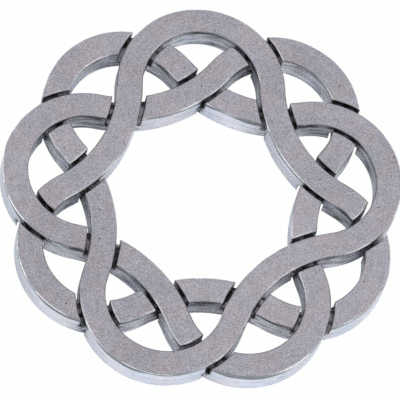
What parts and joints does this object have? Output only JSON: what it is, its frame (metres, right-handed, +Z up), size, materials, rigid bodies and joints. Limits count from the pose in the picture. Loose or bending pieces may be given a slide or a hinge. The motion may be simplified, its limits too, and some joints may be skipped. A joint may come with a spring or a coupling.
{
  "type": "metal ring disentanglement puzzle",
  "caption": "Flat metal puzzle of interlocked wavy rings, turned from each other and woven into one thin disc through half-lap notches; the rings tilt against each other.",
  "frame": {"origin": "the common centre of the woven rings, at the level of the flat face that the puzzle rests on", "axes": "+Z up through the flat of the rings, +Y through the first lobe of the split ring, +X to the right of it"},
  "size_m": [0.0546, 0.0542, 0.004],
  "materials": {
    "base_ring_metal": "satin, fine-grained grey flats with paler smooth side walls",
    "middle_ring_metal": "satin, fine-grained grey flats with paler smooth side walls",
    "split_ring_metal": "satin, fine-grained grey flats with paler smooth side walls"
  },
  "bodies": {
    "base_ring": {"base_ring": "base_ring_metal"},
    "middle_ring": {"middle_ring": "middle_ring_metal"},
    "split_ring": {"split_ring": "split_ring_metal"}
  },
  "joints": [
    {"name": "middle_ring_tilt", "type": "hinge", "parent": "base_ring", "child": "middle_ring", "pos_m": [-0.0016, 0.00277, 0.002], "axis": [0.866, 0.5, 0], "range_deg": [0, 12]},
    {"name": "split_ring_tilt", "type": "hinge", "parent": "middle_ring", "child": "split_ring", "pos_m": [0, 0, 0.002], "axis": [1, 0, 0], "range_deg": [0, 16]}
  ]
}
